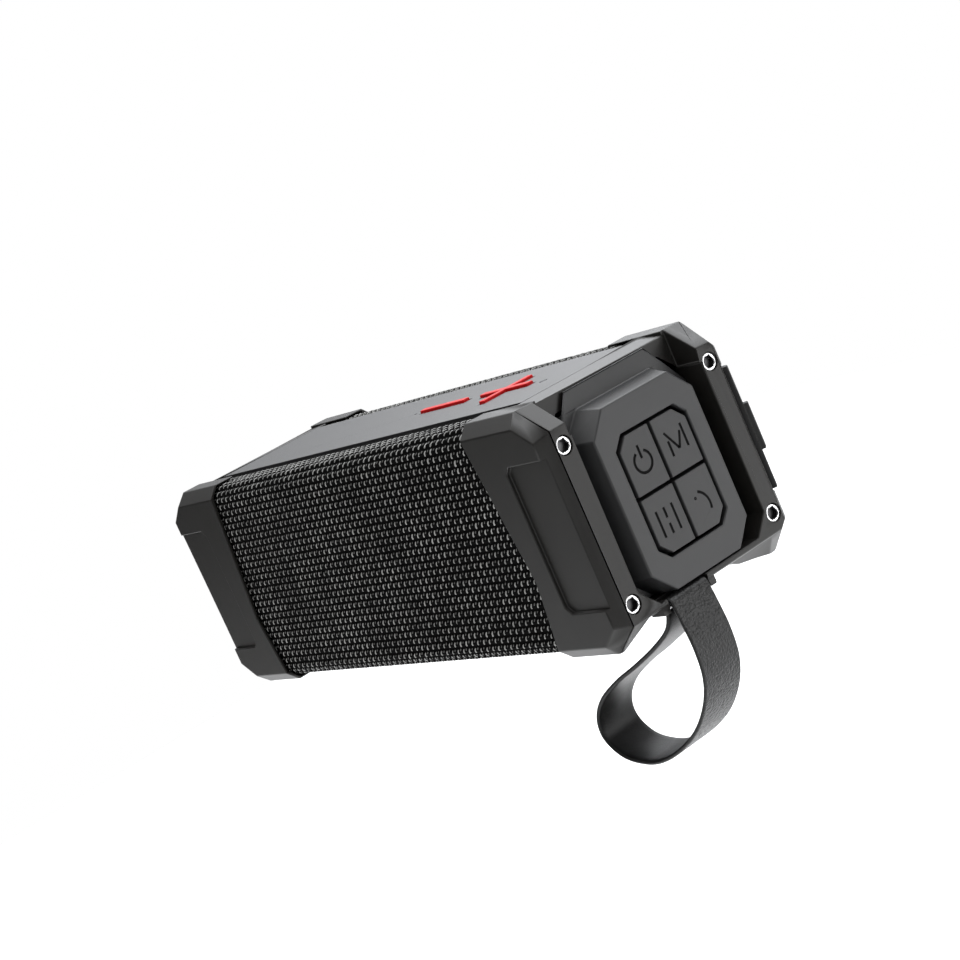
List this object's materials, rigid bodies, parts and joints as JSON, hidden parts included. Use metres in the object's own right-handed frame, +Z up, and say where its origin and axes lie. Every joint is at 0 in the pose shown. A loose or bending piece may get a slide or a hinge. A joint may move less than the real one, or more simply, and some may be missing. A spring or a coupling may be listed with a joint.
{
  "type": "portable speaker",
  "caption": "Rugged rectangular portable speaker: wrapped cloth grilles, octagonal bumper ends, keypad pod on one end, raised volume keys on top and a leather strap loop.",
  "frame": {"origin": "middle of the rubber strip's underside, which is the plane the speaker stands on", "axes": "+X along the length towards the end with the keypad and the strap, +Y to the back with the port cover, +Z up"},
  "size_m": [0.1916, 0.0662, 0.1012],
  "materials": {
    "frame_plastic": "fine satin texture, near black",
    "cap_plastic": "fine matt spark texture, dark grey",
    "mesh_fabric": "woven grille cloth, black",
    "key_plastic": "matt silicone-touch keys",
    "red_silicone": "satin red",
    "rubber": "matt black rubber",
    "inner_plastic": "moulded black plastic",
    "screw_steel": "bright plated steel",
    "socket_steel": "pressed steel",
    "magnet_steel": "plated steel",
    "cone_paper": "pressed paper, matt black",
    "board_green": "circuit board",
    "cell_wrap": "shrink wrap",
    "lens": "clear diffuser",
    "strap_leather": "pebbled black leather"
  },
  "bodies": {
    "body": {"aux_socket": "inner_plastic", "base_pad": "rubber", "battery_cradle": "inner_plastic", "bottom_panel": "cap_plastic", "card_socket": "socket_steel", "cell_lower": "cell_wrap", "cell_upper": "cell_wrap", "front_grille": "mesh_fabric", "housing": "inner_plastic", "key_board": "board_green", "key_mat": "rubber", "left_driver_basket": "inner_plastic", "left_driver_magnet": "magnet_steel", "left_driver_surround": "rubber", "left_end_cap": "cap_plastic", "left_end_frame": "frame_plastic", "left_gasket": "rubber", "left_screw_front_bottom": "screw_steel", "left_screw_front_top": "screw_steel", "left_screw_rear_bottom": "screw_steel", "left_screw_rear_top": "screw_steel", "main_board": "board_green", "microphone": "socket_steel", "port_board": "board_green", "port_panel": "inner_plastic", "radiator_surround": "rubber", "rear_grille": "mesh_fabric", "right_driver_basket": "inner_plastic", "right_driver_magnet": "magnet_steel", "right_driver_surround": "rubber", "right_end_cap": "cap_plastic", "right_end_frame": "frame_plastic", "right_gasket": "rubber", "right_screw_front_bottom": "screw_steel", "right_screw_front_top": "screw_steel", "right_screw_rear_bottom": "screw_steel", "right_screw_rear_top": "screw_steel", "status_led": "lens", "strap_pin": "screw_steel", "top_key_board": "board_green", "top_panel": "cap_plastic", "usb_socket": "socket_steel"},
    "power_key": {"key_power": "key_plastic"},
    "mode_key": {"key_mode": "key_plastic"},
    "equalizer_key": {"key_equalizer": "key_plastic"},
    "call_key": {"key_call": "key_plastic"},
    "minus_key": {"volume_down_key": "red_silicone"},
    "plus_key": {"volume_up_key": "red_silicone"},
    "cover_flap": {"port_cover": "rubber"},
    "strap_loop": {"strap": "strap_leather"},
    "left_cone": {"left_driver_cone": "cone_paper"},
    "right_cone": {"right_driver_cone": "cone_paper"},
    "radiator": {"radiator_plate": "inner_plastic"}
  },
  "joints": [
    {"name": "power_key_press", "type": "slide", "parent": "body", "child": "power_key", "axis": [-1, 0, 0], "range_m": [0, 0.0006], "stiffness_N_per_m": 3000},
    {"name": "mode_key_press", "type": "slide", "parent": "body", "child": "mode_key", "axis": [-1, 0, 0], "range_m": [0, 0.0006], "stiffness_N_per_m": 3000},
    {"name": "equalizer_key_press", "type": "slide", "parent": "body", "child": "equalizer_key", "axis": [-1, 0, 0], "range_m": [0, 0.0006], "stiffness_N_per_m": 3000},
    {"name": "call_key_press", "type": "slide", "parent": "body", "child": "call_key", "axis": [-1, 0, 0], "range_m": [0, 0.0006], "stiffness_N_per_m": 3000},
    {"name": "minus_key_press", "type": "slide", "parent": "body", "child": "minus_key", "axis": [0, 0, -1], "range_m": [0, 0.0005], "stiffness_N_per_m": 3000},
    {"name": "plus_key_press", "type": "slide", "parent": "body", "child": "plus_key", "axis": [0, 0, -1], "range_m": [0, 0.0005], "stiffness_N_per_m": 3000},
    {"name": "cover_hinge", "type": "hinge", "parent": "body", "child": "cover_flap", "pos_m": [0.078, 0.0327, 0.0318], "axis": [0, 0, 1], "range_deg": [0, 110]},
    {"name": "strap_swing", "type": "hinge", "parent": "body", "child": "strap_loop", "pos_m": [0.0933, -0.0088, 0.0055], "axis": [0, 1, 0], "range_deg": [-88, 8]},
    {"name": "left_cone_stroke", "type": "slide", "parent": "body", "child": "left_cone", "axis": [0, -1, 0], "range_m": [-0.001, 0.001], "stiffness_N_per_m": 1500},
    {"name": "right_cone_stroke", "type": "slide", "parent": "body", "child": "right_cone", "axis": [0, -1, 0], "range_m": [-0.001, 0.001], "stiffness_N_per_m": 1500},
    {"name": "radiator_stroke", "type": "slide", "parent": "body", "child": "radiator", "axis": [0, 1, 0], "range_m": [-0.0012, 0.0012], "stiffness_N_per_m": 1500}
  ]
}
